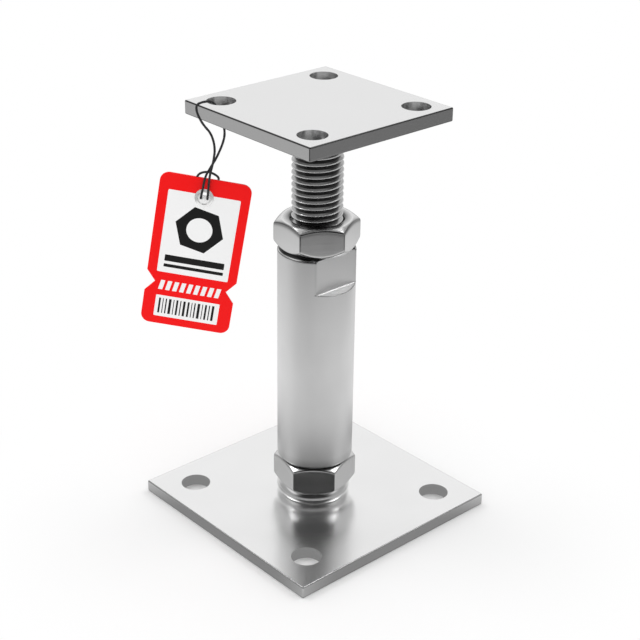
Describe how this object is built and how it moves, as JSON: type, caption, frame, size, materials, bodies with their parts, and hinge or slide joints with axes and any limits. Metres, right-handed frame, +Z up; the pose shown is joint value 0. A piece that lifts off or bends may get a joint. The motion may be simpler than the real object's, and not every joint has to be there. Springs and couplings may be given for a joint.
{
  "type": "timber post base",
  "caption": "Height-adjustable steel post base: square base and head plates on threaded rods, joined by a turning sleeve that a lock nut holds at each end, with a hang tag on a cord.",
  "frame": {"origin": "middle of the base plate's underside, on the common axis of the rods and the sleeve", "axes": "+Z up along the rods' axis; X and Y along the sides of both plates; the cord passes through the head plate's hole at -X, -Y"},
  "size_m": [0.12, 0.1253, 0.2087],
  "materials": {
    "plate_steel": "satin, polished flat faces",
    "thread_steel": "rolled thread, bright crests",
    "weld_steel": "brushed weld bead",
    "nut_steel": "smooth polished flats",
    "sleeve_steel": "fine turned satin",
    "tag_plastic": "gloss laminated card",
    "eyelet_metal": "polished",
    "cord_fabric": "braided, matt"
  },
  "bodies": {
    "base": {"base_plate": "plate_steel", "lower_stud": "thread_steel", "stud_weld": "weld_steel"},
    "lower_nut": {"lower_lock_nut": "nut_steel"},
    "sleeve": {"adjusting_sleeve": "sleeve_steel"},
    "upper_nut": {"upper_lock_nut": "nut_steel"},
    "head": {"upper_rod": "thread_steel", "head_plate": "plate_steel", "tag_card": "tag_plastic", "tag_eyelet": "eyelet_metal", "tag_cord": "cord_fabric"}
  },
  "joints": [
    {"name": "sleeve_rise", "type": "slide", "parent": "base", "child": "lower_nut", "axis": [0, 0, 1], "range_m": [0, 0.0165]},
    {"name": "sleeve_turn", "type": "hinge", "parent": "lower_nut", "child": "sleeve", "pos_m": [0, 0, 0.083], "axis": [0, 0, -1], "range_deg": [0, 1980]},
    {"name": "upper_nut_turn", "type": "hinge", "parent": "sleeve", "child": "upper_nut", "pos_m": [0, 0, 0.146], "axis": [0, 0, 1], "continuous": true},
    {"name": "head_rise", "type": "slide", "parent": "lower_nut", "child": "head", "axis": [0, 0, 1], "range_m": [0, 0.0165]}
  ],
  "couplings": [
    {"joint": "sleeve_turn", "follows": "sleeve_rise", "rad_per_m": 2094.4},
    {"joint": "head_rise", "follows": "sleeve_rise", "ratio": 1}
  ]
}
